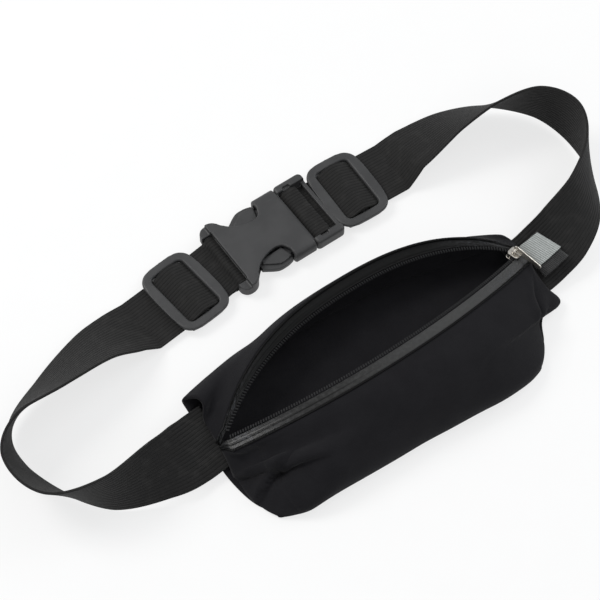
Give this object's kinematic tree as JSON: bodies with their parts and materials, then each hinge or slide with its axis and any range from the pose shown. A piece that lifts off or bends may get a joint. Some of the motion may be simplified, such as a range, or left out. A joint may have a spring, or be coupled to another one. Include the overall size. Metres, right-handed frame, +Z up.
{
  "type": "money belt",
  "caption": "Waist belt with a stretch-cloth zip pouch lying open on its back, elastic webbing, sliding adjusters and a side-release buckle.",
  "frame": {"origin": "middle of the pouch's flat back, where it lies on the table", "axes": "+X along the pouch to the zip slider's end, +Y from the pouch towards the buckle, +Z up off the pouch's back"},
  "size_m": [0.4292, 0.2025, 0.0432],
  "materials": {
    "cloth": "matt black stretch knit",
    "webbing": "ribbed black elastic",
    "tape": "black tape with a glossy coating",
    "teeth": "black coil teeth",
    "nickel": "bright nickel plate",
    "grey_ribbon": "ribbed reflective grey",
    "black_ribbon": "matt black ribbon",
    "plastic": "moulded charcoal, satin"
  },
  "bodies": {
    "pouch": {"pouch_back_panel": "cloth", "pouch_front_panel": "cloth", "pouch_top_panel": "cloth", "zip_tape_front": "tape", "zip_tape_rear": "tape", "zip_teeth_front": "teeth", "zip_teeth_rear": "teeth", "reflective_tab": "grey_ribbon", "loop_ribbon": "black_ribbon", "left_strap": "webbing", "right_strap": "webbing", "buckle_socket": "plastic"},
    "zip_slider": {"zip_slider": "nickel"},
    "zip_pull": {"zip_pull": "nickel"},
    "buckle_plug": {"buckle_plug": "plastic"},
    "release_arm_far": {"release_arm_far": "plastic"},
    "release_arm_near": {"release_arm_near": "plastic"},
    "left_adjuster": {"left_adjuster": "plastic"},
    "right_adjuster": {"right_adjuster": "plastic"}
  },
  "joints": [
    {"name": "zip_run", "type": "hinge", "parent": "pouch", "child": "zip_slider", "pos_m": [-0.00147, 0.14644, -0.15334], "axis": [0.0525, -0.765, -0.6419], "range_deg": [0, 49], "deforming": ["zip_tape_rear", "zip_teeth_rear"]},
    {"name": "pull_swing", "type": "hinge", "parent": "zip_slider", "child": "zip_pull", "pos_m": [0.11587, 0.01049, 0.02494], "axis": [-0.8839, -0.3347, 0.3266], "range_deg": [0, 140]},
    {"name": "plug_out", "type": "slide", "parent": "pouch", "child": "buckle_plug", "axis": [0.9976, 0.0698, 0], "range_m": [0, 0.045], "deforming": ["right_strap", "release_arm_far", "release_arm_near"]},
    {"name": "arm_far_squeeze", "type": "hinge", "parent": "buckle_plug", "child": "release_arm_far", "pos_m": [0.00627, 0.1272, 0.006], "axis": [0, 0, 1], "range_deg": [0, 8], "stiffness_Nm_per_rad": 0.1},
    {"name": "arm_near_squeeze", "type": "hinge", "parent": "buckle_plug", "child": "release_arm_near", "pos_m": [0.00857, 0.09428, 0.006], "axis": [0, 0, -1], "range_deg": [0, 8], "stiffness_Nm_per_rad": 0.1},
    {"name": "left_adjust", "type": "slide", "parent": "pouch", "child": "left_adjuster", "axis": [-0.9848, -0.1736, 0], "range_m": [-0.008, 0.012], "deforming": ["left_strap"]},
    {"name": "right_adjust", "type": "slide", "parent": "buckle_plug", "child": "right_adjuster", "axis": [0.9997, 0.0262, 0], "range_m": [0, 0.012]}
  ]
}
